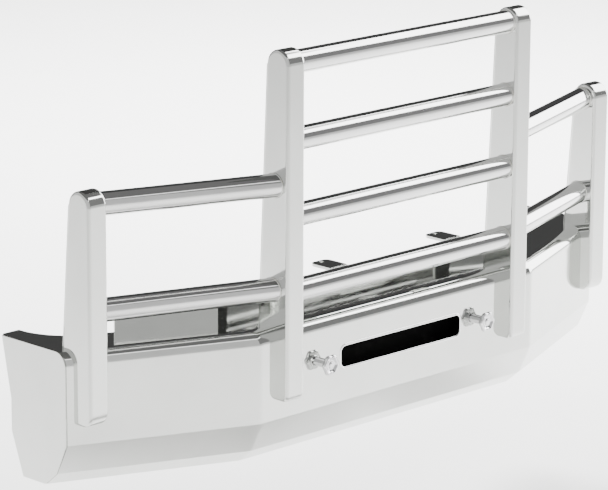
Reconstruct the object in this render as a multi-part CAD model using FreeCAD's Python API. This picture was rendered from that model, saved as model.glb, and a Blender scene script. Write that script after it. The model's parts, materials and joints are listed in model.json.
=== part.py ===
"""Front grille guard for a highway truck: a folded bumper with raked wings, four flat posts,
cross tubes, two pull-out tow pins, and a lower hinge on brackets bolted to the truck frame.

Units are millimetres.  X runs across the truck, +Y towards the truck, +Z up.  The lengths in Y
below are measured from the front of the tall posts; every piece is moved at the end so that the
origin is under the middle of the guard, level with its lowest edge.
"""
import FreeCAD
import Part
import math
import os

Vector = FreeCAD.Vector
X_AXIS = Vector(1, 0, 0)
Y_AXIS = Vector(0, 1, 0)
Z_AXIS = Vector(0, 0, 1)

# ---- driving dimensions: bumper ----------------------------------------------------------------
HALF_WIDTH = 1240.0          # centre to the outer face of an end panel
CREASE_X = 640.0             # where each wing starts to rake back
WING_RAKE = 0.416            # wing: set back per unit of width
SHEET = 5.0                  # bumper sheet thickness
END_SHEET = 5.0              # end panel thickness
FACE_Y = 43.4                # front of the vertical face
FLANGE_Z = 443.0             # top of the top flange
NOSE_R = 45.0                # bullnose between face and flange
FLANGE_REAR_Y = 243.0        # rear edge of the top flange
FACE_BOTTOM_Z = 144.5        # face to chamfer
CHAMFER_Y = 92.0             # chamfer to lip
CHAMFER_Z = 44.0
LIP_REAR_Y = 144.6           # end of the lip, at Z = 0
UPSTAND_HEIGHT = 55.0        # plate along the rear edge of the flange
UPSTAND_END_INSET = 280.0    # end of the upstand, in from the end panel
FLANGE_TURN_INSET = 200.0    # where the flange turns back, in from the end panel
END_TOP_RUN = 344.4          # rear edge of an end panel behind its front, from the top down
END_MID_RUN = 303.4
END_REAR_MID_Z = 246.0
END_REAR_LOW_Z = 141.0
END_BOTTOM_RUN = 250.4
RETURN_RUN = 355.4           # rearmost edge of the flange at each end
RETURN_WIDTH = 80.0          # the end flange where it is narrowest

# ---- driving dimensions: posts and tubes -------------------------------------------------------
POST_WIDTH = 76.2
POST_SHEET = 3.0
POST_EDGE_R = 11.0
POST_TOP_DEPTH = 98.0
TALL_X = 530.0
TALL_FRONT_Y = 0.0
TALL_TOP_Z = 1339.0
TALL_TAPER = 0.044           # depth gained per unit going down
TALL_BOTTOM_Z = 205.0
TALL_BOTTOM_R = 25.0
OUTER_INSET = 64.0           # middle of an outer post, in from the end panel
OUTER_STANDOFF = 62.4        # its front, ahead of the bumper's face
OUTER_TOP_Z = 959.0
OUTER_TAPER = 0.074
OUTER_BOTTOM_Z = 212.0
OUTER_BOTTOM_R = 45.0
TUBE_R = 38.1
TUBE_WALL = 3.2
TOP_TUBE_DROP = 48.0         # axis of the top tube, below the top of the tall posts
BELT_TUBE_RISE = 110.0       # axis of the lowest tube, above the flange
CENTRE_TUBE_NAMES = ("top_tube", "upper_tube", "middle_tube", "belt_tube")
WING_TOP_TUBE_DROP = 53.0    # below the top of the outer posts
WING_TOP_TUBE_BACK = 48.0    # behind the tall post's front, at its middle
WING_BELT_TUBE_RISE = 123.7  # above the flange
WING_BELT_TUBE_BACK = 56.0
WING_TUBE_OUTER_BACK = 71.4  # the top tube behind the outer post's front, at its middle
BLOCK_LOW_Z = 240.0          # tapped blocks inside the post feet
BLOCK_HIGH_Z = 380.0
FOOT_BOLT_R = 6.0
FOOT_BOLT_GRIP = 33.0
FOOT_BOLT_Z = (270.0, 350.0)
FOOT_BOLT_HEAD = 8.0

# ---- driving dimensions: slot, tow pins, lock ears ---------------------------------------------
SLOT_LENGTH = 562.0
SLOT_HEIGHT = 70.0
SLOT_R = 19.0
SLOT_Z = 292.0
TRIM_WALL = 3.0
TRIM_LIP = 5.0
TRIM_PROUD = 2.0
TRAY_MARGIN = 14.0
TRAY_DEPTH = 42.0
TRAY_SHEET = 2.0
PIN_X = 371.0
PIN_Z = 293.0
PIN_R = 15.0
PIN_CLEARANCE = 0.05
PIN_HEAD_R = 35.0
PIN_HEAD_THICK = 14.0
PIN_HEAD_EDGE = 4.0
PIN_STANDOUT = 48.4          # front of the head, ahead of the bumper's face
PIN_HEAD_HOLE_R = 4.0
PIN_TRAVEL = 120.0
SLEEVE_WALL = 7.0
SLEEVE_LENGTH = 72.0
COLLAR_WALL = 5.0
COLLAR_THICK = 9.0
PIN_TAIL = 6.0               # pin standing out behind its collar
EAR_X = 268.0
EAR_WIDTH = 78.0
EAR_FRONT_BACK = 21.0        # front edge, behind the tube's axis
EAR_REAR_BACK = 116.0
EAR_SINK = 2.1               # top of the ear, below the top of the tube
EAR_THICK = 9.0
EAR_CORNER_R = 20.0
EAR_HOLE_R = 7.5
EAR_HOLE_BACK = 98.0

# ---- driving dimensions: hinge and frame brackets ----------------------------------------------
PIVOT_Y = 190.0
PIVOT_Z = 80.0
PIVOT_R = 10.0               # shank of the pivot bolt
PIVOT_CLEARANCE = 0.05
BUSH_WALL = 4.0
RAIL_X = 430.0               # outer face of the truck's frame rail
BRACKET_THICK = 10.0
BRACKET_BOSS_R = 50.0
BRACKET_REAR_Y = 590.0
BRACKET_LOW_Z = 120.0
BRACKET_TOP_Z = 320.0
BRACKET_TOP_FRONT_Y = 330.0
WASHER_THICK = 3.0
WASHER_R = 22.0
SIDE_GAP = 0.3               # between pieces that turn past each other
ARM_THICK = 12.0
ARM_LUG_R = 45.0
ARM_LIGHTENING_R = 50.0
BOLT_HEAD_THICK = 12.5
BOLT_HEAD_R = 17.3
NUT_THICK = 16.0
BOLT_TAIL = 5.0
FRAME_HOLE_R = 8.5
FRAME_HOLE_PITCH = 120.0
FRAME_HOLES_Y = 500.0
FRAME_HOLES_Z = 220.0
BEAM_SIZE = 50.0
BEAM_WALL = 4.0
BEAM_Y = 60.0                # front of the cross beam
BEAM_Z = 165.0               # underside of the cross beam
RIB_THICK = 6.0
RIB_OFFSET = 25.0            # from the post's middle, clear of its foot bolts
RIB_HOLE_R = 55.0

# ---- worked out from the values above ----------------------------------------------------------
OUTER_X = HALF_WIDTH - OUTER_INSET
OUTER_FRONT_Y = FACE_Y + WING_RAKE * (OUTER_X - CREASE_X) - OUTER_STANDOFF
END_SETBACK = WING_RAKE * (HALF_WIDTH - CREASE_X)
END_REAR_TOP_Y = END_SETBACK + END_TOP_RUN
END_REAR_MID_Y = END_SETBACK + END_MID_RUN
END_BOTTOM_REAR_Y = END_SETBACK + END_BOTTOM_RUN
RETURN_REAR_Y = END_SETBACK + RETURN_RUN
UPSTAND_END_X = HALF_WIDTH - UPSTAND_END_INSET
FLANGE_TURN_X = HALF_WIDTH - FLANGE_TURN_INSET
RETURN_INNER_X = HALF_WIDTH - RETURN_WIDTH
CENTRE_TUBE_Y = TALL_FRONT_Y + POST_TOP_DEPTH / 2
CENTRE_TUBE_TOP_Z = TALL_TOP_Z - TOP_TUBE_DROP
BELT_TUBE_Z = FLANGE_Z + BELT_TUBE_RISE
CENTRE_TUBE_PITCH = (CENTRE_TUBE_TOP_Z - BELT_TUBE_Z) / (len(CENTRE_TUBE_NAMES) - 1)
WING_TOP_TUBE_Z = OUTER_TOP_Z - WING_TOP_TUBE_DROP
WING_TOP_TUBE_Y = TALL_FRONT_Y + WING_TOP_TUBE_BACK
WING_BELT_TUBE_Z = FLANGE_Z + WING_BELT_TUBE_RISE
WING_BELT_TUBE_Y = TALL_FRONT_Y + WING_BELT_TUBE_BACK
WING_TUBE_RAKE = (OUTER_FRONT_Y + WING_TUBE_OUTER_BACK - WING_TOP_TUBE_Y) / (OUTER_X - TALL_X)
EAR_TOP_Z = BELT_TUBE_Z + TUBE_R - EAR_SINK
EAR_FRONT_Y = CENTRE_TUBE_Y + EAR_FRONT_BACK
EAR_REAR_Y = CENTRE_TUBE_Y + EAR_REAR_BACK
EAR_HOLE_Y = CENTRE_TUBE_Y + EAR_HOLE_BACK
PIN_HEAD_FRONT_Y = FACE_Y - PIN_STANDOUT
COLLAR_R = PIN_R + COLLAR_WALL
RIB_X = OUTER_X + RIB_OFFSET
MID_Y = (PIN_HEAD_FRONT_Y + RETURN_REAR_Y) / 2
ARM_X = RAIL_X + BRACKET_THICK + WASHER_THICK + SIDE_GAP
NUT_WASHER_X = ARM_X + ARM_THICK + SIDE_GAP
NUT_X = NUT_WASHER_X + WASHER_THICK
BIG = 3000.0

SIDES = (("left", -1), ("right", 1))


# ---- helpers -----------------------------------------------------------------------------------
def setback(x):
    """How far the bumper's section stands back at a place along its width."""
    return WING_RAKE * max(0.0, abs(x) - CREASE_X)


def line_offset(p, q, d):
    """The line p-q moved d to its right, as two points in the YZ plane."""
    length = math.hypot(q[0] - p[0], q[1] - p[1])
    ny = (q[1] - p[1]) / length
    nz = -(q[0] - p[0]) / length
    return (p[0] + ny * d, p[1] + nz * d), (q[0] + ny * d, q[1] + nz * d)


def crossing(a, b):
    """Where two lines, each given by two points, meet."""
    (ay, az), (by, bz) = a
    (cy, cz), (dy, dz) = b
    den = (ay - by) * (cz - dz) - (az - bz) * (cy - dy)
    p = ay * bz - az * by
    q = cy * dz - cz * dy
    return (p * (cy - dy) - (ay - by) * q) / den, (p * (cz - dz) - (az - bz) * q) / den


def section_edges(inset, x, shift=0.0):
    """The bumper's folded outline at a depth below its outer surface, from the lip to the flange."""
    lip = line_offset((LIP_REAR_Y, 0), (CHAMFER_Y, CHAMFER_Z), inset)
    chamfer = line_offset((CHAMFER_Y, CHAMFER_Z), (FACE_Y, FACE_BOTTOM_Z), inset)
    face = ((FACE_Y + inset, 0), (FACE_Y + inset, FLANGE_Z))
    radius = NOSE_R - inset
    nose_y = FACE_Y + NOSE_R
    nose_z = FLANGE_Z - NOSE_R
    slant = math.sqrt(0.5) * radius
    corner = crossing(lip, chamfer)
    fold = crossing(chamfer, face)

    def point(y, z):
        return Vector(x, y + shift, z)

    start = crossing(lip, ((0, 0), (1, 0)))
    points = [point(*start), point(*corner), point(*fold), point(FACE_Y + inset, nose_z)]
    edges = [Part.makeLine(points[i], points[i + 1]) for i in range(3)]
    top = point(nose_y, nose_z + radius)
    middle = point(nose_y - slant, nose_z + slant)
    edges.append(Part.Arc(points[3], middle, top).toShape())
    rear = point(FLANGE_REAR_Y, nose_z + radius)
    edges.append(Part.makeLine(top, rear))
    return edges, points[0], rear


def section_face(x, inset_outer, inset_inner=None, shift=0.0):
    """A face across the bumper: the sheet between two depths, or all that lies behind one."""
    edges, start, end = section_edges(inset_outer, x, shift)
    if inset_inner is None:
        edges.append(Part.makeLine(end, start))
    else:
        inner, inner_start, inner_end = section_edges(inset_inner, x, shift)
        edges += inner
        edges.append(Part.makeLine(end, inner_end))
        edges.append(Part.makeLine(start, inner_start))
    return Part.Face(Part.Wire(Part.__sortEdges__(edges)))


def swept_section(x0, x1, side, inset_outer, inset_inner=None):
    """The section carried along the bumper from x0 to x1, raked where it is in a wing."""
    run = x1 - x0
    rake = WING_RAKE * run if x0 >= CREASE_X else 0.0
    face = section_face(side * x0, inset_outer, inset_inner, setback(x0))
    return face.extrude(Vector(side * run, rake, 0))


def bumper_block():
    """Everything behind the bumper's outer surface, as one solid for trimming other pieces."""
    block = section_face(-CREASE_X, 0.0).extrude(Vector(2 * CREASE_X, 0, 0))
    for _, side in SIDES:
        block = block.fuse(swept_section(CREASE_X, HALF_WIDTH, side, 0.0))
    return block


def plate_yz(points, x0, x1):
    """A flat plate whose outline lies in the YZ plane."""
    wire = Part.makePolygon([Vector(x0, y, z) for y, z in points + points[:1]])
    return Part.Face(wire).extrude(Vector(x1 - x0, 0, 0))


def rounded_bar(length, height, radius, y0, y1):
    """A bar along Y whose section is a rounded rectangle centred on the slot."""
    box = Part.makeBox(length, y1 - y0, height, Vector(-length / 2, y0, SLOT_Z - height / 2))
    edges = [e for e in box.Edges if abs(e.tangentAt(e.FirstParameter).y) > 0.9]
    return box.makeFillet(radius, edges)


def hexagon(radius, height, base, direction):
    """A hexagonal head or nut standing on base."""
    points = [Vector(radius * math.cos(math.radians(a)), radius * math.sin(math.radians(a)), 0)
              for a in range(0, 361, 60)]
    solid = Part.Face(Part.makePolygon(points)).extrude(Vector(0, 0, height))
    solid.Placement = FreeCAD.Placement(base, FreeCAD.Rotation(Z_AXIS, direction))
    return solid


def ring(outer, inner, height, base, direction):
    """A washer, bush, collar or sleeve."""
    return Part.makeCylinder(outer, height, base, direction).cut(
        Part.makeCylinder(inner, height, base, direction))


def mirrored_pair(build):
    """The same fastener on both sides of the truck, as one group of separate solids."""
    return Part.makeCompound([build(side) for _, side in SIDES])


# ---- posts -------------------------------------------------------------------------------------
def post_solid(post, inset):
    """The outside of a post, or its inside when inset is the sheet thickness."""
    front = post["front"] + inset
    depth_r = POST_TOP_DEPTH / 2 - inset
    top_y = post["front"] + POST_TOP_DEPTH / 2
    spring_z = post["top"] - POST_TOP_DEPTH / 2
    rear_y = top_y + depth_r
    bottom = post["bottom"] + inset
    foot_r = post["foot_r"] - inset
    rear_reach = BIG if inset else post["taper"] * (spring_z - bottom)
    half = POST_WIDTH / 2 - inset
    x0 = post["x"] - half
    slant = math.sqrt(0.5) * foot_r

    def point(y, z):
        return Vector(x0, y, z)

    edges = [
        Part.makeLine(point(front, bottom + foot_r), point(front, spring_z)),
        Part.Arc(point(front, spring_z), point(top_y, spring_z + depth_r),
                 point(rear_y, spring_z)).toShape(),
    ]
    if inset:
        edges.append(Part.makeLine(point(rear_y, spring_z), point(rear_y + rear_reach, spring_z)))
        edges.append(Part.makeLine(point(rear_y + rear_reach, spring_z),
                                   point(rear_y + rear_reach, bottom)))
    else:
        edges.append(Part.makeLine(point(rear_y, spring_z), point(rear_y + rear_reach, bottom)))
    edges.append(Part.makeLine(point(rear_y + rear_reach, bottom), point(front + foot_r, bottom)))
    edges.append(Part.Arc(point(front + foot_r, bottom),
                          point(front + foot_r - slant, bottom + foot_r - slant),
                          point(front, bottom + foot_r)).toShape())
    solid = Part.Face(Part.Wire(edges)).extrude(Vector(2 * half, 0, 0))
    rim = []
    for edge in solid.Edges:
        middle = edge.valueAt((edge.FirstParameter + edge.LastParameter) / 2)
        on_side = abs(edge.tangentAt(edge.FirstParameter).x) < 0.1
        low_front = middle.y < front + foot_r and middle.z < spring_z
        over_top = middle.z > spring_z + 1
        if on_side and (low_front or over_top):
            rim.append(edge)
    return solid.makeFillet(POST_EDGE_R - inset, rim)


def post_pieces(post, block):
    """A post as a folded shell, a plate closing its back, and a tapped block inside its foot."""
    outside = post_solid(post, 0.0)
    inside = post_solid(post, POST_SHEET)
    shell = outside.cut(inside).cut(block)
    half = POST_WIDTH / 2 - POST_SHEET
    spring_z = post["top"] - POST_TOP_DEPTH / 2
    rear_y = post["front"] + POST_TOP_DEPTH
    low_y = rear_y + post["taper"] * (spring_z - post["bottom"])
    back = plate_yz([(rear_y - POST_SHEET, spring_z), (rear_y, spring_z), (low_y, post["bottom"]),
                     (low_y - POST_SHEET, post["bottom"])], post["x"] - half, post["x"] + half)
    slab_rear_y = FACE_Y + NOSE_R + setback(abs(post["x"]) + POST_WIDTH / 2)
    slab = Part.makeBox(POST_WIDTH, slab_rear_y - post["front"], BLOCK_HIGH_Z - BLOCK_LOW_Z,
                        Vector(post["x"] - POST_WIDTH / 2, post["front"], BLOCK_LOW_Z))
    foot = inside.common(slab).cut(block)
    return shell, largest(back.cut(block)), largest(foot)


def largest(shape):
    """The biggest solid of a cut."""
    return max(shape.Solids, key=lambda solid: solid.Volume)


def foot_bolt_lines(post):
    """Where the bolts of a post's foot seat inside the bumper, and which way they point."""
    normal = Vector(0, -1, 0)
    if abs(post["x"]) > CREASE_X:
        normal = Vector(WING_RAKE * math.copysign(1, post["x"]), -1, 0)
        normal.normalize()
    seat_y = FACE_Y + SHEET + setback(post["x"])
    return [(Vector(post["x"], seat_y, z), normal) for z in FOOT_BOLT_Z]


def foot_bolt(seat, normal):
    """A hexagon bolt with its head against the inside of the bumper sheet."""
    shank = Part.makeCylinder(FOOT_BOLT_R, FOOT_BOLT_GRIP, seat, normal)
    head = hexagon(1.7 * FOOT_BOLT_R, FOOT_BOLT_HEAD, seat, normal * -1)
    return shank.fuse(head)


# ---- tubes -------------------------------------------------------------------------------------
def tube(x0, x1, y0, rake, z):
    """A straight tube from x0 to x1; its axis passes y0 at x0 and its ends are cut upright."""
    direction = Vector(x1 - x0, rake * (x1 - x0), 0)
    spare = 2 * TUBE_R
    unit = Vector(direction)
    unit.normalize()
    base = Vector(x0, y0, z) - unit * spare
    length = direction.Length + 2 * spare
    pipe = ring(TUBE_R, TUBE_R - TUBE_WALL, length, base, unit)
    window = Part.makeBox(abs(x1 - x0), BIG, BIG, Vector(min(x0, x1), -BIG / 2, z - BIG / 2))
    return pipe.common(window)


def wing_tube(side, axis_y, z):
    """A tube from the tall post's side to the outer post's side."""
    inner_x = TALL_X + POST_WIDTH / 2
    outer_x = OUTER_X - POST_WIDTH / 2
    start_y = axis_y + WING_TUBE_RAKE * (inner_x - TALL_X)
    return tube(side * inner_x, side * outer_x, start_y, side * WING_TUBE_RAKE, z)


# ---- bumper pieces -----------------------------------------------------------------------------
def upstand(x0, x1, side):
    """The plate along the flange's rear edge."""
    run = x1 - x0
    rake = WING_RAKE * run if x0 >= CREASE_X else 0.0
    y0 = FLANGE_REAR_Y + setback(x0)
    outline = [Vector(side * x0, y0, FLANGE_Z - SHEET), Vector(side * x0, y0 + SHEET, FLANGE_Z - SHEET),
               Vector(side * x0, y0 + SHEET, FLANGE_Z + UPSTAND_HEIGHT),
               Vector(side * x0, y0, FLANGE_Z + UPSTAND_HEIGHT)]
    face = Part.Face(Part.makePolygon(outline + outline[:1]))
    return face.extrude(Vector(side * run, rake, 0))


def end_panel(side):
    """The flat plate that closes an end and runs back beside the truck's wheel."""
    x = side * (HALF_WIDTH - END_SHEET)
    edges, start, _ = section_edges(0.0, x, setback(HALF_WIDTH))
    edges = edges[:4]
    top = edges[3].Vertexes[-1].Point
    rear = [(END_REAR_TOP_Y, FLANGE_Z), (END_REAR_MID_Y, END_REAR_MID_Z),
            (END_REAR_MID_Y, END_REAR_LOW_Z), (END_BOTTOM_REAR_Y, 0.0)]
    points = [top] + [Vector(x, y, z) for y, z in rear] + [start]
    edges += [Part.makeLine(points[i], points[i + 1]) for i in range(len(points) - 1)]
    wire = Part.Wire(Part.__sortEdges__(edges))
    return Part.Face(wire).extrude(Vector(side * END_SHEET, 0, 0))


def end_flange(side):
    """The flange that carries the top round each end, with a hollow-cornered inner edge."""
    outer_x = HALF_WIDTH - END_SHEET
    wing_rear = FLANGE_REAR_Y + setback(outer_x)
    start_y = FLANGE_REAR_Y + setback(FLANGE_TURN_X)
    corner_x = RETURN_INNER_X - 0.14 * (RETURN_REAR_Y - start_y)
    corner_y = start_y + 0.44 * (RETURN_REAR_Y - start_y)

    def point(x, y):
        return Vector(side * x, y, FLANGE_Z - SHEET)

    outline = [point(FLANGE_TURN_X, start_y), point(outer_x, wing_rear),
               point(outer_x, END_REAR_TOP_Y), point(outer_x - 9, RETURN_REAR_Y),
               point(RETURN_INNER_X, RETURN_REAR_Y)]
    edges = [Part.makeLine(outline[i], outline[i + 1]) for i in range(len(outline) - 1)]
    curve = Part.Arc(outline[-1], point(corner_x, corner_y), outline[0])
    edges.append(curve.toShape())
    return Part.Face(Part.Wire(edges)).extrude(Vector(0, 0, SHEET))


def slot_trim():
    """A bright rolled edge round the slot, with a lip on the face and a wall through the sheet."""
    lip = rounded_bar(SLOT_LENGTH + 2 * (TRIM_WALL + TRIM_LIP), SLOT_HEIGHT + 2 * (TRIM_WALL + TRIM_LIP),
                      SLOT_R + TRIM_WALL + TRIM_LIP, FACE_Y - TRIM_PROUD, FACE_Y)
    wall = rounded_bar(SLOT_LENGTH + 2 * TRIM_WALL, SLOT_HEIGHT + 2 * TRIM_WALL, SLOT_R + TRIM_WALL,
                       FACE_Y, FACE_Y + SHEET)
    hole = rounded_bar(SLOT_LENGTH, SLOT_HEIGHT, SLOT_R, FACE_Y - 2 * TRIM_PROUD, FACE_Y + 2 * SHEET)
    return lip.fuse(wall).cut(hole).removeSplitter()


def slot_tray():
    """The black tray behind the slot, open to the front."""
    y0 = FACE_Y + SHEET
    margin = 2 * TRAY_MARGIN
    outside = rounded_bar(SLOT_LENGTH + margin, SLOT_HEIGHT + margin, SLOT_R + TRAY_MARGIN,
                          y0, y0 + TRAY_DEPTH)
    inside = rounded_bar(SLOT_LENGTH + margin - 2 * TRAY_SHEET, SLOT_HEIGHT + margin - 2 * TRAY_SHEET,
                         SLOT_R + TRAY_MARGIN - TRAY_SHEET, y0, y0 + TRAY_DEPTH - TRAY_SHEET)
    return outside.cut(inside)


def centre_panel():
    """The folded centre of the bumper, with the slot, the pin holes and the foot bolt holes."""
    panel = section_face(-CREASE_X, 0.0, SHEET).extrude(Vector(2 * CREASE_X, 0, 0))
    panel = panel.cut(rounded_bar(SLOT_LENGTH + 2 * TRIM_WALL, SLOT_HEIGHT + 2 * TRIM_WALL,
                                  SLOT_R + TRIM_WALL, FACE_Y - SHEET, FACE_Y + 2 * SHEET))
    for _, side in SIDES:
        hole = Part.makeCylinder(PIN_R + PIN_CLEARANCE, 3 * SHEET,
                                 Vector(side * PIN_X, FACE_Y - SHEET, PIN_Z), Y_AXIS)
        panel = panel.cut(hole)
    return panel


# ---- tow pins ----------------------------------------------------------------------------------
def tow_pin(side):
    """A round-headed pin that pulls out forwards."""
    start = Vector(side * PIN_X, PIN_HEAD_FRONT_Y, PIN_Z)
    head = Part.makeCylinder(PIN_HEAD_R, PIN_HEAD_THICK, start, Y_AXIS)
    head = head.makeFillet(PIN_HEAD_EDGE, [e for e in head.Edges if e.Closed])
    eye = Part.makeCylinder(PIN_HEAD_HOLE_R, PIN_HEAD_THICK,
                            start + Vector(-0.5 * PIN_HEAD_R, 0, -0.5 * PIN_HEAD_R), Y_AXIS)
    shank_end = FACE_Y + SHEET + SLEEVE_LENGTH + PIN_TRAVEL + COLLAR_THICK + PIN_TAIL
    shank = Part.makeCylinder(PIN_R, shank_end - PIN_HEAD_FRONT_Y - PIN_HEAD_THICK,
                              start + Vector(0, PIN_HEAD_THICK, 0), Y_AXIS)
    return head.cut(eye).fuse(shank).removeSplitter()


def pin_sleeve(side):
    """The guide welded behind the face, which the pin runs in."""
    return ring(PIN_R + SLEEVE_WALL, PIN_R + PIN_CLEARANCE, SLEEVE_LENGTH,
                Vector(side * PIN_X, FACE_Y + SHEET, PIN_Z), Y_AXIS)


def pin_collar(side):
    """The collar that stops the pin at the end of its travel."""
    start_y = FACE_Y + SHEET + SLEEVE_LENGTH + PIN_TRAVEL + SIDE_GAP
    return ring(COLLAR_R, PIN_R, COLLAR_THICK, Vector(side * PIN_X, start_y, PIN_Z), Y_AXIS)


def lock_ear(side):
    """A plate welded to the back of the belt tube, with an upright hole for a lock bolt."""
    x0 = side * EAR_X - EAR_WIDTH / 2
    plate = Part.makeBox(EAR_WIDTH, EAR_REAR_Y - EAR_FRONT_Y, EAR_THICK,
                         Vector(x0, EAR_FRONT_Y, EAR_TOP_Z - EAR_THICK))
    corners = [e for e in plate.Edges
               if abs(e.tangentAt(e.FirstParameter).z) > 0.9 and e.Vertexes[0].Y > EAR_HOLE_Y]
    plate = plate.makeFillet(EAR_CORNER_R, corners)
    hole = Part.makeCylinder(EAR_HOLE_R, EAR_THICK,
                             Vector(side * EAR_X, EAR_HOLE_Y, EAR_TOP_Z - EAR_THICK), Z_AXIS)
    saddle = Part.makeCylinder(TUBE_R, EAR_WIDTH, Vector(x0, CENTRE_TUBE_Y, BELT_TUBE_Z), X_AXIS)
    return plate.cut(hole).cut(saddle)


# ---- hinge and brackets ------------------------------------------------------------------------
def side_x(side, x, thick):
    """The lower X of a piece that reaches outwards from x by thick, on either side."""
    return x if side > 0 else -x - thick


def hinge_arm(side):
    """A rib across the bumper's inside, with a lug that carries the pivot bush."""
    x0 = side_x(side, ARM_X, ARM_THICK)
    web = section_face(x0, SHEET).extrude(Vector(ARM_THICK, 0, 0))
    pivot = Vector(x0, PIVOT_Y, PIVOT_Z)
    lug = Part.makeCylinder(ARM_LUG_R, ARM_THICK, pivot, X_AXIS)
    bore = Part.makeCylinder(PIVOT_R + PIVOT_CLEARANCE + BUSH_WALL, ARM_THICK, pivot, X_AXIS)
    light = Part.makeCylinder(ARM_LIGHTENING_R, ARM_THICK,
                              Vector(x0, (FACE_Y + FLANGE_REAR_Y) / 2, SLOT_Z + SLOT_HEIGHT / 2), X_AXIS)
    return web.fuse(lug).removeSplitter().cut(bore).cut(light)


def frame_bracket(side):
    """The plate that bolts to the outside of the truck's frame rail and carries the pivot."""
    x0 = side_x(side, RAIL_X, BRACKET_THICK)
    pivot = Vector(x0, PIVOT_Y, PIVOT_Z)
    plate = plate_yz([(PIVOT_Y, PIVOT_Z - BRACKET_BOSS_R), (BRACKET_REAR_Y, BRACKET_LOW_Z),
                      (BRACKET_REAR_Y, BRACKET_TOP_Z), (BRACKET_TOP_FRONT_Y, BRACKET_TOP_Z),
                      (PIVOT_Y - 0.6 * BRACKET_BOSS_R, PIVOT_Z + 0.8 * BRACKET_BOSS_R)],
                     x0, x0 + BRACKET_THICK)
    boss = Part.makeCylinder(BRACKET_BOSS_R, BRACKET_THICK, pivot, X_AXIS)
    plate = plate.fuse(boss).removeSplitter()
    plate = plate.cut(Part.makeCylinder(PIVOT_R, BRACKET_THICK, pivot, X_AXIS))
    for dy in (-0.5, 0.5):
        for dz in (-0.5, 0.5):
            centre = Vector(x0, FRAME_HOLES_Y + dy * FRAME_HOLE_PITCH,
                            FRAME_HOLES_Z + dz * FRAME_HOLE_PITCH)
            plate = plate.cut(Part.makeCylinder(FRAME_HOLE_R, BRACKET_THICK, centre, X_AXIS))
    return plate


def pivot_bolt(side):
    """A hexagon bolt from the bracket's inner face out through the arm."""
    out = Vector(side, 0, 0)
    seat = Vector(side * RAIL_X, PIVOT_Y, PIVOT_Z)
    length = NUT_X + NUT_THICK + BOLT_TAIL - RAIL_X
    shank = Part.makeCylinder(PIVOT_R, length, seat, out)
    return shank.fuse(hexagon(BOLT_HEAD_R, BOLT_HEAD_THICK, seat, out * -1))


def pivot_nut(side):
    """The lock nut on a pivot bolt."""
    out = Vector(side, 0, 0)
    base = Vector(side * NUT_X, PIVOT_Y, PIVOT_Z)
    return hexagon(BOLT_HEAD_R, NUT_THICK, base, out).cut(
        Part.makeCylinder(PIVOT_R, NUT_THICK, base, out))


def pivot_washer(side, x):
    """A thrust washer on a pivot bolt."""
    return ring(WASHER_R, PIVOT_R, WASHER_THICK, Vector(side * x, PIVOT_Y, PIVOT_Z),
                Vector(side, 0, 0))


def pivot_bush(side):
    """The bronze bush pressed into a hinge arm."""
    inner = PIVOT_R + PIVOT_CLEARANCE
    return ring(inner + BUSH_WALL, inner, ARM_THICK, Vector(side * ARM_X, PIVOT_Y, PIVOT_Z),
                Vector(side, 0, 0))


def cross_beam():
    """The square tube behind the face that ties the two hinge arms together."""
    length = 2 * ARM_X
    inner = BEAM_SIZE - 2 * BEAM_WALL
    outside = Part.makeBox(length, BEAM_SIZE, BEAM_SIZE, Vector(-ARM_X, BEAM_Y, BEAM_Z))
    inside = Part.makeBox(length, inner, inner,
                          Vector(-ARM_X, BEAM_Y + BEAM_WALL, BEAM_Z + BEAM_WALL))
    return outside.cut(inside)


def wing_rib(side):
    """The rib inside a wing, under its outer post."""
    rib = swept_section(RIB_X, RIB_X + RIB_THICK, side, SHEET)
    hole = Part.makeCylinder(RIB_HOLE_R, 4 * RIB_THICK,
                             Vector(side * (RIB_X - RIB_THICK),
                                    (FACE_Y + FLANGE_REAR_Y) / 2 + setback(RIB_X),
                                    SLOT_Z + SLOT_HEIGHT / 2), Vector(side, 0, 0))
    return rib.cut(hole)


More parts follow.
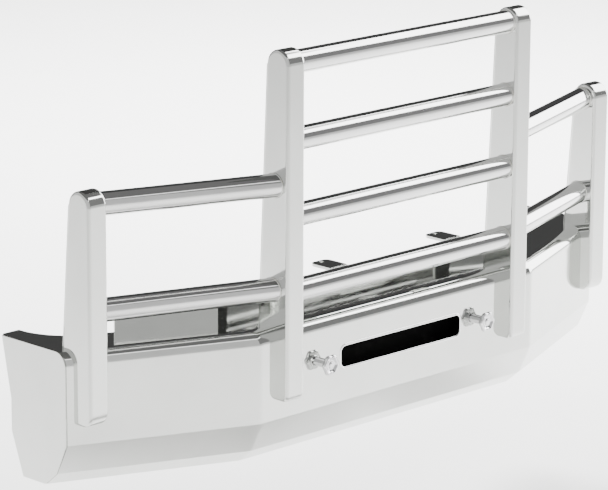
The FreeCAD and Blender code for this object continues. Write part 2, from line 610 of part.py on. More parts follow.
# ---- assembly ----------------------------------------------------------------------------------
def build():
    """Every node by name."""
    nodes = {}
    block = bumper_block()
    nodes["centre_panel"] = centre_panel()
    nodes["slot_trim"] = slot_trim()
    nodes["slot_tray"] = slot_tray()
    nodes["cross_beam"] = cross_beam()
    nodes["upstand_centre"] = upstand(-CREASE_X, CREASE_X, 1)
    bolts = []
    for name, side in SIDES:
        nodes["wing_panel_" + name] = swept_section(CREASE_X, HALF_WIDTH - END_SHEET, side, 0.0, SHEET)
        nodes["upstand_" + name] = upstand(CREASE_X, UPSTAND_END_X, side)
        nodes["end_panel_" + name] = end_panel(side)
        nodes["end_flange_" + name] = end_flange(side)
        nodes["wing_rib_" + name] = wing_rib(side)
        nodes["hinge_arm_" + name] = hinge_arm(side)
        nodes["frame_bracket_" + name] = frame_bracket(side)
        nodes["tow_pin_" + name] = tow_pin(side)
        nodes["pin_sleeve_" + name] = pin_sleeve(side)
        nodes["pin_collar_" + name] = pin_collar(side)
        nodes["lock_ear_" + name] = lock_ear(side)
        nodes["wing_top_tube_" + name] = wing_tube(side, WING_TOP_TUBE_Y, WING_TOP_TUBE_Z)
        nodes["wing_belt_tube_" + name] = wing_tube(side, WING_BELT_TUBE_Y, WING_BELT_TUBE_Z)
        posts = {
            "tall_post_": {"x": side * TALL_X, "front": TALL_FRONT_Y, "top": TALL_TOP_Z,
                           "taper": TALL_TAPER, "bottom": TALL_BOTTOM_Z, "foot_r": TALL_BOTTOM_R},
            "outer_post_": {"x": side * OUTER_X, "front": OUTER_FRONT_Y, "top": OUTER_TOP_Z,
                            "taper": OUTER_TAPER, "bottom": OUTER_BOTTOM_Z, "foot_r": OUTER_BOTTOM_R},
        }
        for stem, post in posts.items():
            shell, back, foot = post_pieces(post, block)
            panel = "centre_panel" if stem == "tall_post_" else "wing_panel_" + name
            for seat, normal in foot_bolt_lines(post):
                bolt = foot_bolt(seat, normal)
                shank = Part.makeCylinder(FOOT_BOLT_R, FOOT_BOLT_GRIP, seat, normal)
                nodes[panel] = nodes[panel].cut(bolt)
                foot = foot.cut(shank)
                bolts.append(bolt)
            nodes[stem + name] = shell
            nodes[stem + "back_" + name] = back
            nodes[stem + "block_" + name] = foot
    half = TALL_X - POST_WIDTH / 2
    for i, name in enumerate(CENTRE_TUBE_NAMES):
        nodes[name] = tube(-half, half, CENTRE_TUBE_Y, 0.0, CENTRE_TUBE_TOP_Z - i * CENTRE_TUBE_PITCH)
    nodes["foot_bolts"] = Part.makeCompound(bolts)
    nodes["pivot_bolts"] = mirrored_pair(pivot_bolt)
    nodes["pivot_nuts"] = mirrored_pair(pivot_nut)
    nodes["pivot_bushes"] = mirrored_pair(pivot_bush)
    nodes["inner_washers"] = mirrored_pair(lambda side: pivot_washer(side, RAIL_X + BRACKET_THICK))
    nodes["outer_washers"] = mirrored_pair(lambda side: pivot_washer(side, NUT_WASHER_X))
    return nodes


os.makedirs("parts", exist_ok=True)
for node, shape in build().items():
    moved = shape.copy()
    moved.translate(Vector(0, -MID_Y, 0))
    moved.exportStep("parts/" + node + ".step")
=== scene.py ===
"""Looks of the front grille guard: mirror-polished skins, posts, tubes and welds."""

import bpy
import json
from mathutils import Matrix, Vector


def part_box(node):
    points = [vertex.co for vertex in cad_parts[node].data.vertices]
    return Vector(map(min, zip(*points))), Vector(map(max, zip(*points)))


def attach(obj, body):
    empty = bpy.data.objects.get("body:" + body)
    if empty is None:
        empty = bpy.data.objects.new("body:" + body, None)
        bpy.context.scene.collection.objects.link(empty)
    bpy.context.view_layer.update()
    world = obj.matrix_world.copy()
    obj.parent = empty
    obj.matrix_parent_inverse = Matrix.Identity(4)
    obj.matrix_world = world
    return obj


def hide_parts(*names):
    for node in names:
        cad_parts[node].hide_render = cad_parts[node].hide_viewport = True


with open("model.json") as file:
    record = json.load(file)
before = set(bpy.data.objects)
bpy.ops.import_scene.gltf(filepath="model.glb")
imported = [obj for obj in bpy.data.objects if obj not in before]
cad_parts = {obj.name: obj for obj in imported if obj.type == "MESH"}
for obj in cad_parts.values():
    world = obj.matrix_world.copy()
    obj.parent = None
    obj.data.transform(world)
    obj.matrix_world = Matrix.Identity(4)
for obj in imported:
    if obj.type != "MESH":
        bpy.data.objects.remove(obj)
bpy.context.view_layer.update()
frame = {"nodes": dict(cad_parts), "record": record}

import json
import math

import bmesh
import bpy
from mathutils import Matrix, Vector

MM = 0.001

# ---- sizes taken from the frame ----------------------------------------------------------------
PANEL_LOW, PANEL_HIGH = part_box("centre_panel")
_, WING_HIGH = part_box("wing_panel_right")
TRIM_LOW, TRIM_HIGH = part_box("slot_trim")
PIN_LOW, PIN_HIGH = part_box("tow_pin_right")
CREASE_X = PANEL_HIGH.x
WING_END_X = WING_HIGH.x
WING_RAKE = (WING_HIGH.y - PANEL_HIGH.y) / (WING_END_X - CREASE_X)
FACE_Y = PANEL_LOW.y
FLANGE_REAR_Y = PANEL_HIGH.y
FLANGE_Z = PANEL_HIGH.z

# ---- sizes of the folded section, as in the CAD ------------------------------------------------
SHEET = 5.0 * MM
NOSE_R = 45.0 * MM
FOLD_R = 7.0 * MM
FACE_BOTTOM_Z = 144.5 * MM
CHAMFER_BACK = 48.6 * MM      # face to the chamfer's lower edge
CHAMFER_Z = 44.0 * MM
LIP_BACK = 101.2 * MM         # face to the lip's end
BEND_HALF = 9.0 * MM          # half the width of the bend where a wing starts
BEND_STEPS = 10
SLOT_R = 19.0 * MM
TRIM_LIP = 5.0 * MM
TRIM_WALL = 3.0 * MM
PIN_HOLE_R = 15.05 * MM
PIN_HEAD_R = 35.0             # in millimetres, the radius that the pin's profile is drawn to
CUT_FRONT = 0.01              # how far a cutter stands out of the face, and into it
CUT_REAR = 0.02
TUBE_R = 38.1 * MM
TUBE_SIDES = 96
BEAD_R = 2.6 * MM
BEAD_SIDES = 8
BEAD_TURNS = 240
BEAD_RIPPLES = 60
EDGE_ROUND = 0.8 * MM
MERGE_DISTANCE = 0.01 * MM
FLAT_ANGLE = 0.2              # degrees between faces that count as one flat

# ---- sizes of the stage ------------------------------------------------------------------------
FLOOR_Z = -0.45               # the guard hangs this far above the ground on its truck
FLOOR_HALF = 40.0
LENS = 202.11
CAMERA_PLACE = (-7.8312, -7.6670, 3.3733)
CAMERA_TARGET = (-0.49615, -0.300, 0.71231)
CAMERA_ROLL = 0.00447
SIDES = (("left", -1), ("right", 1))


# ---- node materials ----------------------------------------------------------------------------
class Shader:
    """A node material with short calls for the nodes that the finishes share."""

    def __init__(self, name):
        self.material = bpy.data.materials.new(name)
        self.material.use_nodes = True
        self.tree = self.material.node_tree
        self.bsdf = self.tree.nodes["Principled BSDF"]
        self.place = self.node("ShaderNodeTexCoord").outputs["Object"]

    def node(self, kind, **settings):
        made = self.tree.nodes.new(kind)
        for key, value in settings.items():
            setattr(made, key, value)
        return made

    def link(self, source, target):
        self.tree.links.new(source, target)

    def stretched(self, scale):
        mapping = self.node("ShaderNodeMapping")
        mapping.inputs["Scale"].default_value = scale
        self.link(self.place, mapping.inputs["Vector"])
        return mapping.outputs["Vector"]

    def noise(self, scale, detail=3.0, roughness=0.5, stretch=(1, 1, 1)):
        made = self.node("ShaderNodeTexNoise")
        made.inputs["Scale"].default_value = scale
        made.inputs["Detail"].default_value = detail
        made.inputs["Roughness"].default_value = roughness
        self.link(self.stretched(stretch), made.inputs["Vector"])
        return made.outputs["Fac"]

    def spread(self, source, low, high, to_low, to_high):
        made = self.node("ShaderNodeMapRange", interpolation_type="SMOOTHSTEP")
        made.inputs["From Min"].default_value = low
        made.inputs["From Max"].default_value = high
        made.inputs["To Min"].default_value = to_low
        made.inputs["To Max"].default_value = to_high
        self.link(source, made.inputs["Value"])
        return made.outputs["Result"]

    def combine(self, how, first, second):
        made = self.node("ShaderNodeMath", operation=how)
        for socket, value in zip(made.inputs, (first, second)):
            if isinstance(value, (int, float)):
                socket.default_value = value
            else:
                self.link(value, socket)
        return made.outputs[0]

    def mix(self, factor, first, second):
        made = self.node("ShaderNodeMix", data_type="RGBA")
        made.inputs["A"].default_value = (*first, 1)
        made.inputs["B"].default_value = (*second, 1)
        self.link(factor, made.inputs["Factor"])
        return made.outputs["Result"]

    def bump(self, height, strength, distance, under=None):
        made = self.node("ShaderNodeBump")
        made.inputs["Strength"].default_value = strength
        made.inputs["Distance"].default_value = distance
        self.link(height, made.inputs["Height"])
        if under is not None:
            self.link(under, made.inputs["Normal"])
        return made.outputs["Normal"]


def polished(name, tint, grain, shine=0.045, wave=0.35):
    """Mirror-polished stainless: slow waviness, buffing lines, faint smears and fine scratches."""
    s = Shader(name)
    smear = s.noise(3.2, detail=5.0, roughness=0.6)
    lines = s.noise(260.0, detail=4.0, roughness=0.7, stretch=grain)
    specks = s.noise(900.0, detail=2.0)
    slow = s.noise(2.1, detail=1.0)
    s.link(s.mix(s.spread(smear, 0.3, 0.75, 0.0, 1.0), tint, [c * 0.93 for c in tint]),
           s.bsdf.inputs["Base Color"])
    haze = s.spread(smear, 0.45, 0.8, shine, shine + 0.05)
    streaks = s.spread(lines, 0.35, 0.75, 0.0, 0.05)
    s.link(s.combine("ADD", haze, streaks), s.bsdf.inputs["Roughness"])
    waves = s.bump(slow, wave, 1.2 * MM)
    buffed = s.bump(lines, 0.05, 0.02 * MM, waves)
    s.link(s.bump(specks, 0.03, 0.01 * MM, buffed), s.bsdf.inputs["Normal"])
    s.bsdf.inputs["Metallic"].default_value = 1.0
    return s.material


def coated(name, colour, rough, specular=0.5):
    """Powder coat: orange peel, dust in patches and a slightly worn tone."""
    s = Shader(name)
    s.bsdf.inputs["Specular IOR Level"].default_value = specular
    peel = s.noise(420.0, detail=2.0)
    dust = s.noise(9.0, detail=6.0, roughness=0.65)
    s.link(s.mix(s.spread(dust, 0.5, 0.8, 0.0, 1.0), colour, [c * 1.6 + 0.006 for c in colour]),
           s.bsdf.inputs["Base Color"])
    s.link(s.spread(dust, 0.3, 0.8, rough - 0.06, rough + 0.12), s.bsdf.inputs["Roughness"])
    s.link(s.bump(peel, 0.25, 0.15 * MM), s.bsdf.inputs["Normal"])
    return s.material


def plated(name, colour, rough):
    """Zinc plate or bearing bronze: mottled crystals and turning marks."""
    s = Shader(name)
    mottle = s.noise(60.0, detail=5.0, roughness=0.6)
    turned = s.noise(700.0, detail=2.0, stretch=(1, 0.1, 1))
    s.link(s.mix(s.spread(mottle, 0.35, 0.7, 0.0, 1.0), colour, [c * 0.72 for c in colour]),
           s.bsdf.inputs["Base Color"])
    s.link(s.spread(mottle, 0.3, 0.7, rough, rough + 0.16), s.bsdf.inputs["Roughness"])
    s.link(s.bump(turned, 0.2, 0.05 * MM), s.bsdf.inputs["Normal"])
    s.bsdf.inputs["Metallic"].default_value = 1.0
    return s.material


def welded(name, tint):
    """The polished-over weld: as the tubes, but rippled and a little duller."""
    s = Shader(name)
    ripple = s.noise(520.0, detail=2.0)
    heat = s.noise(30.0, detail=3.0)
    straw = [c * f for c, f in zip(tint, (0.86, 0.83, 0.78))]
    s.link(s.mix(s.spread(heat, 0.35, 0.7, 0.0, 1.0), tint, straw), s.bsdf.inputs["Base Color"])
    s.link(s.spread(heat, 0.3, 0.7, 0.14, 0.26), s.bsdf.inputs["Roughness"])
    s.link(s.bump(ripple, 0.3, 0.2 * MM), s.bsdf.inputs["Normal"])
    s.bsdf.inputs["Metallic"].default_value = 1.0
    return s.material


def floor_material():
    """Pale studio floor with a faint unevenness."""
    s = Shader("studio_floor")
    patch = s.noise(0.8, detail=3.0)
    s.link(s.mix(s.spread(patch, 0.3, 0.7, 0.0, 1.0), (0.86, 0.86, 0.855), (0.84, 0.84, 0.835)),
           s.bsdf.inputs["Base Color"])
    s.bsdf.inputs["Roughness"].default_value = 0.85
    return s.material


STAINLESS = (0.69, 0.70, 0.68)
LOOKS = {
    "polished_sheet": polished("polished_sheet", STAINLESS, (0.05, 1, 1), wave=0.06),
    "polished_post": polished("polished_post", STAINLESS, (1, 1, 0.05), wave=0.06),
    "polished_tube": polished("polished_tube", (0.72, 0.72, 0.715), (1, 1, 1), shine=0.04, wave=0.1),
    # The slot's rolled edge is polished metal as the sheet; its lighter tint than the sheet is a
    # painted highlight along the edge.
    "bright_trim": polished("bright_trim", (0.92, 0.92, 0.92), (0.1, 1, 1), shine=0.1, wave=0.05),
    "chrome_pin": polished("chrome_pin", (0.74, 0.74, 0.75), (1, 0.1, 1), wave=0.05),
    "black_steel": coated("black_steel", (0.004, 0.004, 0.0045), 0.5),
    "zinc_steel": plated("zinc_steel", (0.62, 0.62, 0.60), 0.28),
    "bronze": plated("bronze", (0.60, 0.40, 0.20), 0.25),
}
WELD = welded("weld_metal", STAINLESS)
# The slot tray: near-black with almost no reflection, darker than black paint, partly the tray's
# black coat and partly painted shade deep in the slot.
TRAY_BLACK_AND_SHADE = coated("tray_black_and_shade", (0.0008, 0.0008, 0.0009), 0.8, specular=0.04)


# ---- mesh helpers ------------------------------------------------------------------------------
def add_piece(name, mesh, slot, body="guard", replaced=(), material=None):
    """A finished mesh as a piece that rides on a body."""
    piece = bpy.data.objects.new(name, mesh)
    bpy.context.scene.collection.objects.link(piece)
    mesh.materials.clear()
    mesh.materials.append(material or LOOKS[slot])
    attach(piece, body)
    if replaced:
        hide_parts(*replaced)
    return piece


def mesh_from(name, bm):
    """A mesh with outward faces from a bmesh."""
    bmesh.ops.recalc_face_normals(bm, faces=bm.faces)
    mesh = bpy.data.meshes.new(name)
    bm.to_mesh(mesh)
    bm.free()
    return mesh


def smooth(piece, angle=32.0, bevel=0.0):
    """Smooth shading with true flats, and an optional small round on every sharp edge."""
    mesh = piece.data
    mesh.polygons.foreach_set("use_smooth", [True] * len(mesh.polygons))
    mesh.set_sharp_from_angle(angle=math.radians(angle))
    if bevel:
        rounded = piece.modifiers.new("edge_round", "BEVEL")
        rounded.width = bevel
        rounded.segments = 3
        rounded.limit_method = "ANGLE"
        rounded.angle_limit = math.radians(angle)
        rounded.use_clamp_overlap = True
        rounded.harden_normals = False
    weighted = piece.modifiers.new("flat_normals", "WEIGHTED_NORMAL")
    weighted.keep_sharp = True
    weighted.weight = 100
    return piece


def apply_modifiers(piece):
    """Swap a piece's mesh for the one its modifiers give."""
    graph = bpy.context.evaluated_depsgraph_get()
    done = bpy.data.meshes.new_from_object(piece.evaluated_get(graph))
    piece.modifiers.clear()
    piece.data = done
    return piece


def from_cad(node, name, slot, bevel=EDGE_ROUND):
    """A guard piece with a CAD node's shape, its flat triangles joined and its edges rounded."""
    bm = bmesh.new()
    bm.from_mesh(frame["nodes"][node].data)
    bmesh.ops.remove_doubles(bm, verts=bm.verts, dist=MERGE_DISTANCE)
    bmesh.ops.dissolve_limit(bm, angle_limit=math.radians(FLAT_ANGLE), verts=bm.verts,
                             edges=bm.edges)
    piece = add_piece(name, mesh_from(name, bm), slot, "guard", (node,))
    return smooth(piece, bevel=bevel)


def cut(piece, cutters):
    """Take the cutters' volume out of a piece."""
    for cutter in cutters:
        modifier = piece.modifiers.new("hole", "BOOLEAN")
        modifier.operation = "DIFFERENCE"
        modifier.solver = "EXACT"
        modifier.object = cutter
    apply_modifiers(piece)
    for cutter in cutters:
        bpy.data.objects.remove(cutter)


# ---- bumper skin -------------------------------------------------------------------------------
def arc(centre, radius, start, end, steps):
    """Points on an arc, angles in degrees."""
    points = []
    for i in range(steps + 1):
        a = math.radians(start + (end - start) * i / steps)
        points.append((centre[0] + radius * math.cos(a), centre[1] + radius * math.sin(a)))
    return points


def fold(before, corner, after, radius, steps=6):
    """A corner between two straight runs, rounded with a radius."""
    b = Vector(corner)
    u = (Vector(before) - b).normalized()
    v = (Vector(after) - b).normalized()
    half = u.angle(v) / 2
    centre = b + (u + v).normalized() * radius / math.sin(half)
    first = b + u * radius / math.tan(half) - centre
    last = b + v * radius / math.tan(half) - centre
    turn = first.angle_signed(last)
    return [tuple(centre + Matrix.Rotation(-turn * i / steps, 2) @ first) for i in range(steps + 1)]


def section(inset):
    """The folded outline at a depth under the outer surface, in Y and Z, from lip to flange."""
    nose = (FACE_Y + NOSE_R, FLANGE_Z - NOSE_R)
    lip = (FACE_Y + LIP_BACK, 0.0)
    chamfer = (FACE_Y + CHAMFER_BACK, CHAMFER_Z)
    face = (FACE_Y, FACE_BOTTOM_Z)
    top = (FACE_Y, FLANGE_Z - NOSE_R)
    moved = []
    for p, q in ((lip, chamfer), (chamfer, face), (face, top)):
        along = (Vector(q) - Vector(p)).normalized()
        side = Vector((along.y, -along.x)) * inset
        moved.append((Vector(p) + side, along))
    corners = [meet(moved[0], (Vector((0, 0)), Vector((1, 0)))), meet(moved[0], moved[1]),
               meet(moved[1], moved[2])]
    upper = (FACE_Y + inset, nose[1])
    outline = [tuple(corners[0])]
    outline += fold(corners[0], corners[1], corners[2], FOLD_R + inset)
    outline += fold(corners[1], corners[2], upper, FOLD_R + inset)
    outline += arc(nose, NOSE_R - inset, 180, 90, 28)
    outline.append((FLANGE_REAR_Y, FLANGE_Z - inset))
    return outline


def meet(a, b):
    """Where two lines, each a point and a direction, cross."""
    (p, u), (q, v) = a, b
    t = (q - p).cross(v) / u.cross(v)
    return p + u * t


def setback(x):
    """The section's set-back at a place along the bumper, rounded through the bend."""
    beyond = abs(x) - CREASE_X
    if beyond <= -BEND_HALF:
        return 0.0
    if beyond >= BEND_HALF:
        return WING_RAKE * beyond
    return WING_RAKE * (beyond + BEND_HALF) ** 2 / (4 * BEND_HALF)


def bumper_stations():
    """Where the section is placed along the bumper: closer together through the bends."""
    half = [0.0, 0.2, 0.4]
    half += [CREASE_X - BEND_HALF + 2 * BEND_HALF * i / BEND_STEPS for i in range(BEND_STEPS + 1)]
    half += [CREASE_X + (WING_END_X - CREASE_X) * f for f in (0.35, 0.7, 1.0)]
    return [-x for x in reversed(half[1:])] + half


def bumper_skin():
    """Centre and wings as the one folded sheet they look like, with the slot and pin holes."""
    outer = section(0.0)
    inner = section(SHEET)
    loop = outer + list(reversed(inner))
    bm = bmesh.new()
    rings = []
    for x in bumper_stations():
        back = setback(x)
        rings.append([bm.verts.new((x, y + back, z)) for y, z in loop])
    count = len(loop)
    for first, second in zip(rings, rings[1:]):
        for i in range(count):
            j = (i + 1) % count
            bm.faces.new((first[i], first[j], second[j], second[i]))
    for end in (rings[0], rings[-1]):
        for i in range(len(outer) - 1):
            bm.faces.new((end[i], end[i + 1], end[count - 2 - i], end[count - 1 - i]))
    piece = add_piece("bumper_skin", mesh_from("bumper_skin", bm), "polished_sheet", "guard",
                      ("centre_panel", "wing_panel_left", "wing_panel_right"))
    bottom = TRIM_LOW.z + TRIM_LIP
    top = TRIM_HIGH.z - TRIM_LIP
    reach = TRIM_HIGH.x - TRIM_LIP
    corner = SLOT_R + TRIM_WALL
    outline = rounded_outline(reach, (top - bottom) / 2, corner)
    cutters = [prism("slot_cut", outline, (top + bottom) / 2)]
    for _, side in SIDES:
        centre_x = side * (PIN_LOW.x + PIN_HIGH.x) / 2
        ring = [(centre_x + px, pz) for px, pz in arc((0.0, 0.0), PIN_HOLE_R, 0, 360, 48)[:-1]]
        cutters.append(prism("pin_cut", ring, (PIN_LOW.z + PIN_HIGH.z) / 2))
    cut(piece, cutters)
    return smooth(piece, angle=24.0)


def rounded_outline(half_x, half_z, radius, steps=10):
    """A rounded rectangle about the origin."""
    points = []
    for sx, sz, start in ((1, 1, 0), (-1, 1, 90), (-1, -1, 180), (1, -1, 270)):
        centre = (sx * (half_x - radius), sz * (half_z - radius))
        points += arc(centre, radius, start, start + 90, steps)
    return points


def prism(name, outline, z):
    """A closed bar through the face, along Y, that a hole is cut with."""
    bm = bmesh.new()
    front = [bm.verts.new((px, FACE_Y - CUT_FRONT, z + pz)) for px, pz in outline]
    back = [bm.verts.new((px, FACE_Y + CUT_REAR, z + pz)) for px, pz in outline]
    bm.faces.new(front)
    bm.faces.new(back)
    for i in range(len(outline)):
        j = (i + 1) % len(outline)
        bm.faces.new((front[i], front[j], back[j], back[i]))
    cutter = bpy.data.objects.new(name, mesh_from(name, bm))
    bpy.context.scene.collection.objects.link(cutter)
    return cutter


def slot_trim():
    """The rolled edge round the slot, its lighter tint a painted highlight: a half-round lip and the
    wall behind it.
    """
    half_x = TRIM_HIGH.x
    half_z = (TRIM_HIGH.z - TRIM_LOW.z) / 2
    z = (TRIM_HIGH.z + TRIM_LOW.z) / 2
    lip_y = TRIM_LOW.y
    rear_y = TRIM_HIGH.y
    lip = TRIM_LIP + TRIM_WALL
    profile = []
    for i in range(9):
        a = math.radians(180 * i / 8)
        profile.append((lip / 2 - lip / 2 * math.cos(a), FACE_Y - (FACE_Y - lip_y) * math.sin(a)))
    profile += [(lip, rear_y), (TRIM_LIP, rear_y), (TRIM_LIP, FACE_Y)]
    rings = []
    bm = bmesh.new()
    for inset, y in profile:
        outline = rounded_outline(half_x - inset, half_z - inset, SLOT_R + lip - inset)
        rings.append([bm.verts.new((px, y, z + pz)) for px, pz in outline])
    count = len(rings[0])
    for first, second in zip(rings, rings[1:] + rings[:1]):
        for i in range(count):
            j = (i + 1) % count
            bm.faces.new((first[i], first[j], second[j], second[i]))
    piece = add_piece("slot_edge", mesh_from("slot_edge", bm), "bright_trim", "guard", ("slot_trim",))
    return smooth(piece, angle=40.0)


def tow_pin(name):
    """A tow pin: a six-lobed head with a raised rim and centre boss, a neck and a plain shank."""
    low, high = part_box("tow_pin_" + name)
    centre_x = (low.x + high.x) / 2
    centre_z = (low.z + high.z) / 2
    front = low.y
    head_r = (high.x - low.x) / 2
    profile = [(3.0, 2.2, 0), (8.0, 2.4, 0), (10.0, 3.4, 0), (11.0, 5.5, 0), (15.0, 6.4, 0.2),
               (20.0, 5.2, 0.5), (24.5, 1.6, 0.8), (27.5, 0.2, 1), (31.0, 0.6, 1), (34.2, 2.8, 1),
               (35.0, 5.0, 1), (35.0, 9.5, 1), (33.6, 12.4, 1), (30.0, 13.8, 1), (19.0, 14.0, 0.2),
               (16.8, 15.2, 0), (15.0, 18.5, 0), (15.0, 19.5, 0)]
    bm = bmesh.new()
    rings = []
    end = (high.y - front) / MM
    profile += [(15.0, end - 3.0, 0), (14.8, end - 2.0, 0), (12.5, end, 0)]
    for radius, depth, lobed in profile:
        ring = []
        for i in range(TUBE_SIDES):
            a = 2 * math.pi * i / TUBE_SIDES
            lobe = 1.0 - 0.12 * lobed * (0.5 - 0.5 * math.cos(6 * a))
            r = radius * lobe * head_r / PIN_HEAD_R
            ring.append(bm.verts.new((centre_x + r * math.cos(a), front + depth * MM,
                                      centre_z + r * math.sin(a))))
        rings.append(ring)
    for first, second in zip(rings, rings[1:]):
        for i in range(TUBE_SIDES):
            j = (i + 1) % TUBE_SIDES
            bm.faces.new((first[i], first[j], second[j], second[i]))
    bm.faces.new(rings[0])
    bm.faces.new(rings[-1])
    piece = add_piece("chrome_pin_" + name, mesh_from("chrome_pin_" + name, bm), "chrome_pin",
                      "pin_" + name, ("tow_pin_" + name,))
    return smooth(piece, angle=50.0)


# ---- tubes and welds ---------------------------------------------------------------------------
def tube_ends(node):
    """The two points where a tube's axis meets the posts, from its box."""
    low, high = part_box(node)
    z = (low.z + high.z) / 2
    if high.y - low.y < 2.2 * TUBE_R:
        y = (low.y + high.y) / 2
        return Vector((low.x, y, z)), Vector((high.x, y, z))
    run = high.x - low.x
    rise = high.y - low.y
    rake = rise / run
    for _ in range(20):
        rake = (rise - 2 * TUBE_R * math.sqrt(1 + rake * rake)) / run
    reach = TUBE_R * math.sqrt(1 + rake * rake)
    y_low = low.y + reach
    y_high = high.y - reach
    if low.x > 0:
        return Vector((low.x, y_low, z)), Vector((high.x, y_high, z))
    return Vector((low.x, y_high, z)), Vector((high.x, y_low, z))


def on_plane(point, axis, x):
    """Slide a point along the tube until it lies in an upright plane across the truck."""
    return point + axis * ((x - point.x) / axis.x)


def tube(node):
    """A polished tube with upright ends and a rippled weld at each end."""
    start, end = tube_ends(node)
    axis = (end - start).normalized()
    side = axis.cross(Vector((0, 0, 1))).normalized()
    up = side.cross(axis)
    bm = bmesh.new()
    rings = []
    for f in (0.0, 0.25, 0.5, 0.75, 1.0):
        centre = start.lerp(end, f)
        ring = []
        for i in range(TUBE_SIDES):
            a = 2 * math.pi * i / TUBE_SIDES
            point = centre + (side * math.cos(a) + up * math.sin(a)) * TUBE_R
            if f in (0.0, 1.0):
                point = on_plane(point, axis, centre.x)
            ring.append(bm.verts.new(point))
        rings.append(ring)
    for first, second in zip(rings, rings[1:]):
        for i in range(TUBE_SIDES):
            j = (i + 1) % TUBE_SIDES
            bm.faces.new((first[i], first[j], second[j], second[i]))
    bm.faces.new(rings[0])
    bm.faces.new(rings[-1])
    piece = add_piece(node + "_polished", mesh_from(node, bm), "polished_tube", "guard", (node,))
    smooth(piece, angle=40.0)
    weld(node + "_weld_a", start, axis, side, up, 1)
    weld(node + "_weld_b", end, axis, side, up, -1)


def weld(name, centre, axis, side, up, inward):
    """A bead round the end of a tube, rippled as a weld is."""
    bm = bmesh.new()
    rings = []
    for i in range(BEAD_TURNS):
        a = 2 * math.pi * i / BEAD_TURNS
        out = side * math.cos(a) + up * math.sin(a)
        seat = on_plane(centre + out * TUBE_R, axis, centre.x)
        bead = BEAD_R * (1.0 + 0.10 * math.sin(BEAD_RIPPLES * a))
        ring = []
        for k in range(BEAD_SIDES):
            b = 2 * math.pi * k / BEAD_SIDES
            along = max(0.0, 0.25 + math.cos(b)) * inward
            ring.append(bm.verts.new(seat + out * bead * math.sin(b) + axis * bead * along))
        rings.append(ring)
    for first, second in zip(rings, rings[1:] + rings[:1]):
        for k in range(BEAD_SIDES):
            m = (k + 1) % BEAD_SIDES
            bm.faces.new((first[k], first[m], second[m], second[k]))
    piece = add_piece(name, mesh_from(name, bm), "polished_tube", "guard", material=WELD)
    piece.data.polygons.foreach_set("use_smooth", [True] * len(piece.data.polygons))


# ---- stage -------------------------------------------------------------------------------------
def floor():
    """The pale floor under the guard, which hangs on its truck."""
    mesh = bpy.data.meshes.new("studio_floor")
    quarters = ((-1, -1), (1, -1), (1, 1), (-1, 1))
    corners = [(x * FLOOR_HALF, y * FLOOR_HALF, FLOOR_Z) for x, y in quarters]
    mesh.from_pydata(corners, [], [(0, 1, 2, 3)])
    mesh.materials.append(floor_material())
    obj = bpy.data.objects.new("studio_floor", mesh)
    bpy.context.scene.collection.objects.link(obj)


def camera():
    """The camera: a long lens from the front left, a little above."""
    data = bpy.data.cameras.new("camera")
    data.lens = LENS
    data.sensor_width = 36.0
    data.clip_end = 200.0
    obj = bpy.data.objects.new("camera", data)
    place = Vector(CAMERA_PLACE)
    aim = (Vector(CAMERA_TARGET) - place).to_track_quat("-Z", "Y").to_matrix().to_4x4()
    obj.matrix_world = Matrix.Translation(place) @ aim @ Matrix.Rotation(CAMERA_ROLL, 4, "Z")
    bpy.context.scene.collection.objects.link(obj)
    bpy.context.scene.camera = obj


class Sky:
    """The studio round the object: soft panels of light given by heading and height, in degrees."""

    def __init__(self):
        world = bpy.data.worlds.new("studio")
        world.use_nodes = True
        bpy.context.scene.world = world
        self.tree = world.node_tree
        self.background = self.tree.nodes["Background"]
        direction = self.tree.nodes.new("ShaderNodeTexCoord").outputs["Generated"]
        split = self.tree.nodes.new("ShaderNodeSeparateXYZ")
        self.tree.links.new(direction, split.inputs[0])
        x, y, z = split.outputs
        self.heading = self.math("MULTIPLY", self.math("ARCTAN2", y, x), 180 / math.pi)
        self.height = self.math("MULTIPLY", self.math("ARCSINE", z), 180 / math.pi)

    def math(self, how, first, second=0.0):
        made = self.tree.nodes.new("ShaderNodeMath")
        made.operation = how
        for socket, value in zip(made.inputs, (first, second)):
            if isinstance(value, (int, float)):
                socket.default_value = value
            else:
                self.tree.links.new(value, socket)
        return made.outputs[0]

    def within(self, value, low, high, soft):
        """1 between low and high, falling off over soft degrees outside them."""
        made = []
        for near, far in ((low - soft, low), (high + soft, high)):
            ramp = self.tree.nodes.new("ShaderNodeMapRange")
            ramp.interpolation_type = "SMOOTHSTEP"
            ramp.inputs["From Min"].default_value = near
            ramp.inputs["From Max"].default_value = far
            self.tree.links.new(value, ramp.inputs["Value"])
            made.append(ramp.outputs["Result"])
        return self.math("MULTIPLY", made[0], made[1])

    def paint(self, base, panels):
        """Lay each panel (heading, height, softness, brightness) over what is under it."""
        total = base
        for heading, height, soft, level in panels:
            mask = self.math("MULTIPLY", self.within(self.heading, *heading, soft),
                             self.within(self.height, *height, soft))
            keep = self.math("MULTIPLY", total, self.math("SUBTRACT", 1.0, mask))
            total = self.math("ADD", keep, self.math("MULTIPLY", mask, level))
        colour = self.tree.nodes.new("ShaderNodeCombineXYZ")
        for socket in colour.inputs:
            if isinstance(total, float):
                socket.default_value = total
            else:
                self.tree.links.new(total, socket)
        self.tree.links.new(colour.outputs[0], self.background.inputs["Color"])


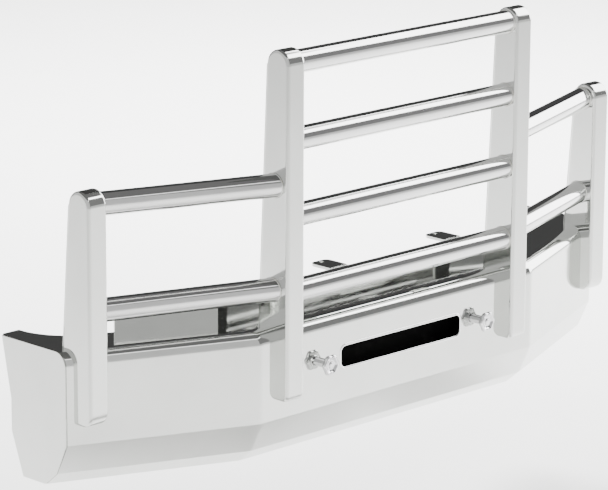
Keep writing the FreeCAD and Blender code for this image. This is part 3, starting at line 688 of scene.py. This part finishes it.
def soft_box(name, place, target, size, power, tint=(1.0, 1.0, 1.0)):
    """A large soft light aimed at the floor, which doesn't show in the polish."""
    data = bpy.data.lights.new(name, "AREA")
    data.shape = "SQUARE"
    data.size = size
    data.energy = power
    data.color = tint
    obj = bpy.data.objects.new(name, data)
    aim = (Vector(target) - Vector(place)).to_track_quat("-Z", "Y").to_matrix().to_4x4()
    obj.matrix_world = Matrix.Translation(place) @ aim
    obj.visible_glossy = False
    bpy.context.scene.collection.objects.link(obj)


def studio():
    """The panels of light round the guard, and the two soft lights on the floor.

    Heading 0 is to the guard's right, +X, and heading -90 is in front of it.
    """
    sky = Sky()
    overhead = ((-180.0, 180.0), (48.0, 90.0), 5.0, 0.22)
    front = ((-125.0, -80.0), (6.0, 42.0), 3.0, 0.88)
    front_right = ((-80.0, -33.0), (6.0, 42.0), 3.0, 0.30)
    bright_right = ((-33.0, 19.0), (-5.0, 45.0), 1.5, 9.0)
    bright_strip = ((-105.0, -33.0), (43.0, 47.0), 1.5, 2.6)
    dark_behind = ((19.0, 95.0), (-30.0, 50.0), 1.5, 0.080)
    sky.paint(1.0, [overhead, front, front_right, bright_right, bright_strip, dark_behind])
    soft_box("key", (-2.5, -5.0, 5.0), (-0.5, -2.0, FLOOR_Z), 3.0, 230.0, (1.0, 0.985, 0.94))
    soft_box("backdrop_light", (5.0, 4.2, 7.0), (4.0, 3.6, FLOOR_Z), 5.0, 4600.0)


# ---- build -------------------------------------------------------------------------------------
def build():
    bumper_skin()
    slot_trim()
    tubes = ["top_tube", "upper_tube", "middle_tube", "belt_tube"]
    tubes += [stem + name for name, _ in SIDES for stem in ("wing_top_tube_", "wing_belt_tube_")]
    for node in tubes:
        tube(node)
    for name, _ in SIDES:
        for stem in ("tall_post_", "outer_post_"):
            from_cad(stem + name, stem + "shell_" + name, "polished_post", bevel=0.0)
        for stem in ("end_panel_", "end_flange_", "upstand_", "lock_ear_"):
            from_cad(stem + name, stem + "polished_" + name, "polished_sheet")
        tow_pin(name)
    from_cad("upstand_centre", "upstand_polished_centre", "polished_sheet")
    slots = {part["node"]: part["material_slot"] for part in frame["record"]["subparts"]}
    for node, obj in frame["nodes"].items():
        obj.data.materials.clear()
        # the slot tray takes the near-black that holds painted shade in the slot
        obj.data.materials.append(TRAY_BLACK_AND_SHADE if node == "slot_tray" else LOOKS[slots[node]])


build()
floor()
camera()
studio()
